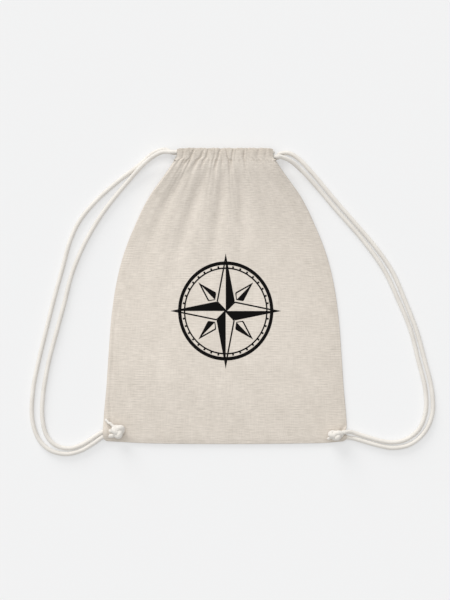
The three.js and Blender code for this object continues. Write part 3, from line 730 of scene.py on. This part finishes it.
def casing_skin(face, inset, across, turns):
    """One skin of a casing, from its stitched foot over the mouth's edge and down inside."""
    lane_z = FRONT_LANE_Z if face > 0 else BACK_LANE_Z
    depth = FRONT_GATHER if face > 0 else BACK_GATHER
    out, rise = np.cos(turns), np.sin(turns)
    outer_foot = (out > 0) & (rise < 0)
    ridge = np.maximum(crest(face * across, rise), 0) * (1 - np.abs(across) ** GATHER_FADE)
    wall = LANE_HALF + CLOTH - inset
    square = np.where(rise > 0, SQUARE_TOP, SQUARE_FOOT)
    proud = np.where(out > 0, wall + depth * ridge, wall + MOUTH_GATHER * (1 - ridge))
    bulge = np.sign(out) * np.abs(out) ** square
    z = lane_z + face * bulge * proud
    if face > 0:
        top_y = np.full_like(across, PANEL_TOP_Y)
        top_half = half_width(top_y, across)
        foot_z = front_level(across, across * top_half, top_y, top_half) - inset
        lower = foot_z + (lane_z + proud - foot_z) * np.clip(bulge, 0, 1) ** FOOT_RISE
        z = np.where(outer_foot, lower, z)
    middle = (CASING_TOP_Y + STITCH_Y) / 2
    tall = (CASING_TOP_Y - STITCH_Y) / 2 - inset
    height = np.sign(rise) * np.abs(rise) ** square
    y = middle + height * tall
    y = y + RUFFLE * (ridge - RUFFLE_FOOT) * np.clip(rise, 0, 1) ** 2
    y = y + CREPE * (1 + np.sin(CREPE_WAVES * across + 1)) * np.clip(rise, 0, 1) ** 4
    inward = (FRONT_LANE_Z - BACK_LANE_Z) / 4 * (1 - np.clip(2 * out, -1, 1))
    reach = MOUTH_WIDTH / 2 + np.where(outer_foot, SHOULDER * height ** 4, -inward)
    return np.stack(np.broadcast_arrays(across * reach, y, z), axis=-1)


# Columns across the cloth, rows up its body and turns round its casing, closer at the edges
EDGE_SHARES = np.array([0, 0.0006, 0.0026, 0.006, 0.012, 0.021, 0.032])
inner_columns = np.linspace(-0.955, 0.955, 149)
CLOTH_COLUMNS = np.concatenate([-1 + EDGE_SHARES, inner_columns, 1 - EDGE_SHARES[::-1]])[None, :]
BODY_ROWS = BOTTOM_Y + np.concatenate([
    np.array([0, 0.12, 0.5, 1.1, 2, 3.2, 4.8, 7]) * MM,
    np.linspace(9 * MM, 300 * MM, 112, endpoint=False),
    np.linspace(300 * MM, BODY_HEIGHT, 82),
])[:, None]
CASING_TURNS = np.radians(np.concatenate([
    np.linspace(-88, 80, 24), np.linspace(88, 252, 16)]))[:, None]
INSIDE_SHIFT = (0.5, 0.7, 0)


def cloth_faces(rows, columns):
    """Quads of a closed sheet: two skins of rows by columns, and a rim all round them."""
    row, column = np.meshgrid(np.arange(rows - 1), np.arange(columns - 1), indexing="ij")
    corner = row * columns + column
    skin = np.stack([corner, corner + 1, corner + columns + 1, corner + columns], axis=-1)
    skin = skin.reshape(-1, 4)
    inner = rows * columns
    border = np.concatenate([
        np.arange(columns - 1),
        np.arange(rows - 1) * columns + columns - 1,
        (rows - 1) * columns + np.arange(columns - 1, 0, -1),
        np.arange(rows - 1, 0, -1) * columns,
    ])
    ahead = np.roll(border, -1)
    rim = np.stack([ahead, border, inner + border, inner + ahead], axis=-1)
    return np.vstack([skin, inner + skin[:, ::-1], rim])


def add_canvas(name, face):
    """A panel and its casing as one closed sheet of cloth."""
    skins = [np.vstack([panel_skin(face, inset, CLOTH_COLUMNS, BODY_ROWS),
                        casing_skin(face, inset, CLOTH_COLUMNS, CASING_TURNS)])
             for inset in (0.0, CLOTH)]
    faces = cloth_faces(*skins[0].shape[:2])
    if face < 0:
        faces = faces[:, ::-1]
    hem = PANEL_TOP_Y + np.linspace(1 * MM, HEM_ROUND, len(CASING_TURNS))
    up = np.concatenate([BODY_ROWS[:, 0], hem])
    grid = np.broadcast_arrays(CLOTH_COLUMNS * BAG_WIDTH / 2, up[:, None], 0.0)
    thread = np.stack(grid, axis=-1).reshape(-1, 3)
    points = np.vstack([skin.reshape(-1, 3) for skin in skins])
    threads = np.vstack([thread, thread + INSIDE_SHIFT])
    piece = add_joined(name, [(points, threads, faces.tolist())], canvas)
    return piece


# Plain weave of slubby yarn: Tone is the light and dark of the yarns, darker towards the edges and
# with painted shade on the casing, and Height their relief
CANVAS_PITCH = 0.85 * MM
PICK_SPACING = 3.9 * MM
PICK_PATCHES = 0.46
PICK_STRENGTH = 0.45
WEAKEST_PICK = 0.01
BASE_TONE = 0.71
MEAN_RELIEF = 0.6
YARN_SHADE = 0.29
SLUB_RELIEF = 0.9
# How much darker the sides and the bottom are, and how strong the painted shade on the casing is
SIDE_DARKENING, BOTTOM_DARKENING, MOUTH_PAINTED_SHADE = 0.10, 0.11, 0.5
BOTTOM_DARKENING_TOP = 20 * MM
BOTTOM_DARKENING_REACH = 250 * MM
# Where the painted shade on the casing is deepest, and how far it reaches
MOUTH_PAINTED_SHADE_Y = 232.5 * MM
MOUTH_PAINTED_SHADE_REACH = 22 * MM

plain_weave, weave_in, weave_out = shader_group(
    "plain_weave",
    [("Thread", "NodeSocketVector"), ("Pitch", "NodeSocketFloat"), ("Slubs", "NodeSocketFloat")],
    [("Tone", "NodeSocketFloat"), ("Height", "NodeSocketFloat")],
)
weave_split = plain_weave.nodes.new("ShaderNodeSeparateXYZ")
feed(plain_weave, weave_in.outputs["Thread"], weave_split.inputs[0])
weave_x, weave_y = weave_split.outputs["X"], weave_split.outputs["Y"]


def weave(operation, *values):
    """The result of one math node in the weave."""
    return maths(plain_weave, operation, *values)


def weave_noise(stretch, detail, roughness=0.5):
    """Noise over the cloth, with its own number of lumps to the metre along X, Y and Z."""
    return noise(plain_weave, weave_in.outputs["Thread"], stretch, detail, roughness)


half_turns = weave("DIVIDE", math.pi, weave_in.outputs["Pitch"])
warp = weave("SINE", weave("MULTIPLY", weave_x, half_turns))
weft = weave("SINE", weave("MULTIPLY", weave_y, half_turns))
yarn_relief = weave("POWER", weave("ABSOLUTE", weave("MULTIPLY", warp, weft)), 0.5)
yarn_shade = weave("MULTIPLY", weave("SUBTRACT", yarn_relief, MEAN_RELIEF), YARN_SHADE)

weft_slubs = weave_noise((64, 620, 1), 4, 0.66)
warp_slubs = weave_noise((620, 45, 1), 2)
patches = weave_noise((26, 26, 26), 3, 0.55)
slub_tone = weighted(plain_weave, (weft_slubs, 0.62), (warp_slubs, 0.20), (patches, 0.18))
spread = weave("MULTIPLY", weave("SUBTRACT", slub_tone, 0.5), weave_in.outputs["Slubs"])

# Thicker picks come at a regular spacing and show in some patches of the cloth
picks = weave("SINE", weave("MULTIPLY", weave_y, 2 * math.pi / PICK_SPACING))
pick_patches = weave("SUBTRACT", weave_noise((34, 9, 1), 1), PICK_PATCHES)
pick_patches = weave("MULTIPLY", pick_patches, PICK_STRENGTH)
picks = weave("MULTIPLY", picks, weave("MAXIMUM", pick_patches, WEAKEST_PICK))

# The side edges and the bottom are a little darker, and painted shade darkens the casing and above
# all its top
side_darkening = weave("POWER", weave("DIVIDE", weave("ABSOLUTE", weave_x), BAG_WIDTH / 2), 3)
bottom_darkening = weave("DIVIDE", weave("SUBTRACT", BOTTOM_DARKENING_TOP, weave_y), BOTTOM_DARKENING_REACH)
bottom_darkening = weave("POWER", weave("MAXIMUM", bottom_darkening, 0), 4)
# Painted shade on the casing, deepest near its top edge
mouth_painted_shade = weave("ABSOLUTE", weave("SUBTRACT", weave_y, MOUTH_PAINTED_SHADE_Y))
mouth_painted_shade = weave("SUBTRACT", 1, weave("DIVIDE", mouth_painted_shade, MOUTH_PAINTED_SHADE_REACH))
mouth_painted_shade = weave("POWER", weave("MAXIMUM", mouth_painted_shade, 0), 2)
darkening_and_painted_shade = weighted(plain_weave, (side_darkening, SIDE_DARKENING), (bottom_darkening, BOTTOM_DARKENING),
                (mouth_painted_shade, MOUTH_PAINTED_SHADE))

shade = weave("SUBTRACT", weave("ADD", yarn_shade, picks), darkening_and_painted_shade)
cloth_tone = weave("ADD", weave("ADD", spread, BASE_TONE), shade)
feed(plain_weave, cloth_tone, weave_out.inputs["Tone"])
relief_height = weave("ADD", yarn_relief, weave("MULTIPLY", weft_slubs, SLUB_RELIEF))
feed(plain_weave, relief_height, weave_out.inputs["Height"])

canvas = cloth_finish(
    "unbleached_canvas", plain_weave, {"Pitch": CANVAS_PITCH, "Slubs": 1.7},
    dark=(176, 167, 155), light=(236, 227, 216), roughness=0.92, bump=0.5, depth=0.25 * MM,
    sheen=0.15)
front_cloth = add_canvas("front_canvas", 1)
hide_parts("front_panel", "front_casing")


# Back of the bag: a second panel of the same canvas with a casing of its own. It lies flat on
# the table, and the same cords gather its casing.
back_cloth = add_canvas("back_canvas", -1)
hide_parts("back_panel", "back_casing")


# Running stitches of fine cotton thread that close both casings along their feet. They are drawn
# down into the cloth, so that little of them shows.
THREAD = 0.5 * MM
STITCH = 2.7 * MM
STITCH_GAP = 1.1 * MM
STITCH_MARGIN = 2 * MM
STITCH_BELOW = 0.1 * MM
STITCH_ARCH = 0.5
STITCH_SUNK = 0.35
STITCH_RINGS = 7
THREAD_SIDES = 6


def stitch_height(face, x):
    """Height of the cloth's outer face along the row of stitches."""
    across = x / (MOUTH_WIDTH / 2 + SHOULDER)
    if face < 0:
        return BACK_GATHER * (1 - crest(-across))
    y = np.full_like(x, PANEL_TOP_Y)
    return front_level(across, x, y, np.full_like(x, MOUTH_WIDTH / 2 + SHOULDER))


def stitch_parts(face):
    """A row of separate stitches along a casing's foot, each a short arch of thread."""
    parts = []
    reach = MOUTH_WIDTH / 2 - STITCH_MARGIN
    radii = np.full((STITCH_RINGS, THREAD_SIDES), THREAD / 2)
    arch = np.sin(np.linspace(0, np.pi, STITCH_RINGS)) * STITCH_ARCH
    y = np.full(STITCH_RINGS, PANEL_TOP_Y - STITCH_BELOW)
    last = (STITCH_RINGS - 1) * THREAD_SIDES
    ends = [list(range(THREAD_SIDES))[::-1], list(range(last, last + THREAD_SIDES))]
    for start in np.arange(-reach, reach - STITCH, STITCH + STITCH_GAP):
        x = start + np.linspace(0, STITCH, STITCH_RINGS)
        z = stitch_height(face, x) + face * (arch - STITCH_SUNK) * THREAD
        points = swept(np.stack([x, y, z], axis=1), radii).reshape(-1, 3)
        parts.append((points, points, tube_faces(STITCH_RINGS, THREAD_SIDES) + ends))
    return parts


seam_thread = cloth_finish(
    "seam_thread", yarn_fuzz, {"Fibre": 0.6}, dark=(205, 196, 182), light=(236, 229, 216),
    roughness=0.85, bump=0.4, depth=0.1 * MM, sheen=0.1)
add_joined("front_casing_stitches", stitch_parts(1), seam_thread)
add_joined("back_casing_stitches", stitch_parts(-1), seam_thread)


# Black print on the front: an eight-pointed compass rose in a ticked ring, as a thin film of ink
# that follows the cloth under it. All of its sizes are in millimetres and degrees.
INK_FILM = 0.12
INK_SUNK = 0.05
INK_STEP = 2.2
PRINT_X = 1.1
PRINT_Y = -23.6
PRINT_TALL = 1.04
OUTER_RING = (68.6, 73.8)
INNER_RING = (62.6, 64.8)
TICKS = (64.7, 67.4)
TICK_HALF = 1.2
TICK_SPACING = 10
OUTLINE = 2.3
MAIN_TIP = 86.0
MAIN_WAIST = 20.0
SMALL_FOOT = 23.0
SMALL_TIP = 60.0
SMALL_WAIST = 31.0
SMALL_WAIST_TURN = 17


def inked(edge_a, edge_b):
    """A thin patch of ink between two lines of points, laid on the front's outer face."""
    edge_a, edge_b = np.asarray(edge_a) * MM, np.asarray(edge_b) * MM
    widest = np.linalg.norm(edge_b - edge_a, axis=1).max()
    across = np.linspace(0, 1, max(2, int(widest / (INK_STEP * MM)) + 2))[None, :, None]
    flat = edge_a[:, None, :] * (1 - across) + edge_b[:, None, :] * across
    x, y = flat[..., 0] + PRINT_X * MM, flat[..., 1] + PRINT_Y * MM
    half = half_width(y, x)
    z = front_level(x / half, x, y, half)
    points = np.vstack([np.stack([x, y, z + lift * MM], axis=-1).reshape(-1, 3)
                        for lift in (INK_FILM, -INK_SUNK)])
    thread = np.stack([x / half * BAG_WIDTH / 2, y, 0 * x], axis=-1).reshape(-1, 3)
    faces = cloth_faces(*x.shape)
    first, second, third = points[faces[0][:3]]
    if np.cross(second - first, third - first)[2] < 0:
        faces = faces[:, ::-1]
    return points, np.vstack([thread, thread]), faces.tolist()


def line(start, end, steps):
    """A straight line of points."""
    start, end = np.asarray(start, float), np.asarray(end, float)
    return start + (end - start) * np.linspace(0, 1, steps)[:, None]


def bent_line(start, corner, end, bend, steps):
    """A line with one corner, at the share bend of its steps."""
    share = np.linspace(0, 1, steps)[:, None]
    start, corner, end = (np.asarray(point, float) for point in (start, corner, end))
    return np.where(share < bend, start + (corner - start) * share / bend,
                    corner + (end - corner) * (share - bend) / (1 - bend))


def polar(radius, degrees):
    """A place in the print, by its distance from the middle and its turn from the top."""
    angle = np.radians(degrees)
    return np.stack([radius * np.sin(angle), radius * PRINT_TALL * np.cos(angle)], axis=-1)


def ring(inner, outer, start=0.0, end=360.0):
    """A ring of ink, or the part of one between two turns."""
    steps = max(2, int(np.radians(end - start) * outer / INK_STEP) + 2)
    angles = np.linspace(start, end, steps)
    return inked(polar(inner, angles), polar(outer, angles))


def kite_half(foot, shoulder, tip, filled):
    """Half of a compass point, beside its axis from foot to tip: solid ink, or an outline."""
    foot, shoulder, tip = (np.asarray(point, float) for point in (foot, shoulder, tip))
    axis = tip - foot
    bend = (shoulder - foot).dot(axis) / axis.dot(axis)
    steps = int(np.linalg.norm(axis) / INK_STEP) + 3
    outside = bent_line(foot, shoulder, tip, bend, steps)
    middle = line(foot, tip, steps)
    if filled:
        return inked(middle, outside)
    width = np.maximum(np.linalg.norm(outside - middle, axis=1), 0.01)
    share = np.clip(OUTLINE / width, 0, 1)[:, None]
    return inked(outside, outside + (middle - outside) * share)


print_parts = [ring(*OUTER_RING), ring(*INNER_RING)]
for tick in range(0, 360, TICK_SPACING):
    if tick % 90:
        print_parts.append(ring(*TICKS, tick - TICK_HALF, tick + TICK_HALF))
for quarter in range(0, 360, 90):
    diagonal = quarter + 45
    for side, filled in ((1, True), (-1, False)):
        waist = polar(MAIN_WAIST, quarter + 45 * side)
        print_parts.append(kite_half((0, 0), waist, polar(MAIN_TIP, quarter), filled))
    for side, filled in ((1, True), (-1, False)):
        waist = polar(SMALL_WAIST, diagonal + SMALL_WAIST_TURN * side)
        print_parts.append(kite_half(
            polar(SMALL_FOOT, diagonal), waist, polar(SMALL_TIP, diagonal), filled))

ink = cloth_finish(
    "black_ink", plain_weave, {"Pitch": CANVAS_PITCH, "Slubs": 1.0}, dark=(4, 4, 4),
    light=(15, 14, 13), roughness=0.9, bump=0.3, depth=0.15 * MM, sheen=0.0)
add_joined("printed_compass_rose", print_parts, ink)
